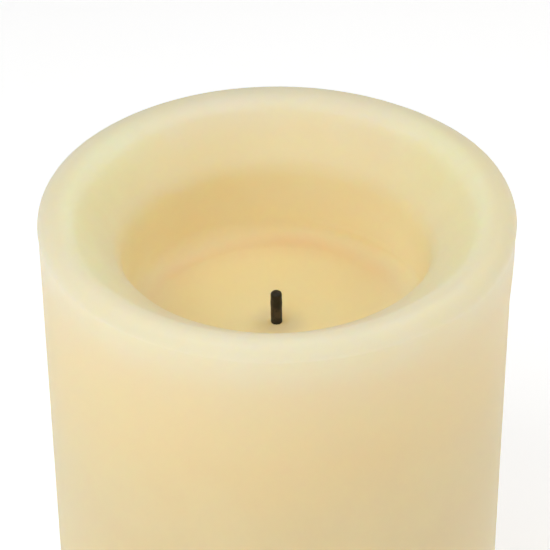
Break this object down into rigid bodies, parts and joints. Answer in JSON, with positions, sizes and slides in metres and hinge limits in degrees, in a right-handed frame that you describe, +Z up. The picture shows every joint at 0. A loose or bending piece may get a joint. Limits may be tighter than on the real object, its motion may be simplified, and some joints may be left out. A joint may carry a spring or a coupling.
{
  "type": "flameless led candle",
  "caption": "Flameless pillar candle: hollow wax shell with a melted bowl and wick over a battery lamp module with a hinged door and slide switch.",
  "frame": {"origin": "centre of the flat underside that the candle stands on", "axes": "+Z up along the candle's axis, -Y towards the side that the door latch and the switch are on"},
  "size_m": [0.1, 0.1, 0.15],
  "materials": {
    "wax": "satin translucent wax",
    "wick": "matte",
    "glue": "hot-melt adhesive",
    "base_plastic": "fine texture",
    "case_plastic": "fine texture",
    "door_plastic": "fine texture",
    "screw_steel": "zinc plated",
    "cell_sleeve": "printed sleeve, plain bands",
    "contact_nickel": "nickel plated",
    "spring_wire": "nickel plated",
    "switch_steel": "tin plated",
    "phenolic": "laminate",
    "terminal_brass": "tinned",
    "switch_black": "fine texture",
    "board_green": "solder mask",
    "led_amber": "clear tinted",
    "chip_black": "moulded epoxy",
    "crystal_can": "plated",
    "capacitor_sleeve": "sleeve",
    "resistor_film": "ceramic film",
    "dome_frost": "frosted translucent",
    "wire_red": "pvc",
    "wire_black": "pvc",
    "wire_yellow": "pvc"
  },
  "bodies": {
    "candle": {"wax_shell": "wax", "wick": "wick", "glue_ring": "glue", "base_plate": "base_plastic", "battery_case": "case_plastic", "case_screws": "screw_steel", "cell_left": "cell_sleeve", "cell_right": "cell_sleeve", "positive_contact": "contact_nickel", "negative_contact": "contact_nickel", "negative_spring": "spring_wire", "switch_frame": "switch_steel", "switch_insulator": "phenolic", "switch_terminals": "terminal_brass", "switch_screws": "screw_steel", "lamp_tower": "case_plastic", "tower_screws": "screw_steel", "lamp_board": "board_green", "board_screws": "screw_steel", "led_left": "led_amber", "led_right": "led_amber", "timer_chip": "chip_black", "crystal": "crystal_can", "capacitor": "capacitor_sleeve", "resistors": "resistor_film", "lamp_dome": "dome_frost", "wire_battery_positive": "wire_red", "wire_battery_negative": "wire_black", "wire_switch_left": "wire_red", "wire_switch_right": "wire_yellow"},
    "door": {"battery_door": "door_plastic", "bridge_contact": "contact_nickel", "bridge_spring": "spring_wire"},
    "latch": {"door_latch": "door_plastic"},
    "switch": {"switch_slider": "switch_black", "switch_knob": "switch_black"}
  },
  "joints": [
    {"name": "door_hinge", "type": "hinge", "parent": "candle", "child": "door", "pos_m": [0, 0.0202, 0.0026], "axis": [1, 0, 0], "range_deg": [0, 100]},
    {"name": "door_latch_flex", "type": "hinge", "parent": "door", "child": "latch", "pos_m": [0, -0.0181, 0.0094], "axis": [1, 0, 0], "range_deg": [0, 12], "stiffness_Nm_per_rad": 0.05},
    {"name": "switch_slide", "type": "slide", "parent": "candle", "child": "switch", "axis": [1, 0, 0], "range_m": [-0.002, 0.002]}
  ]
}
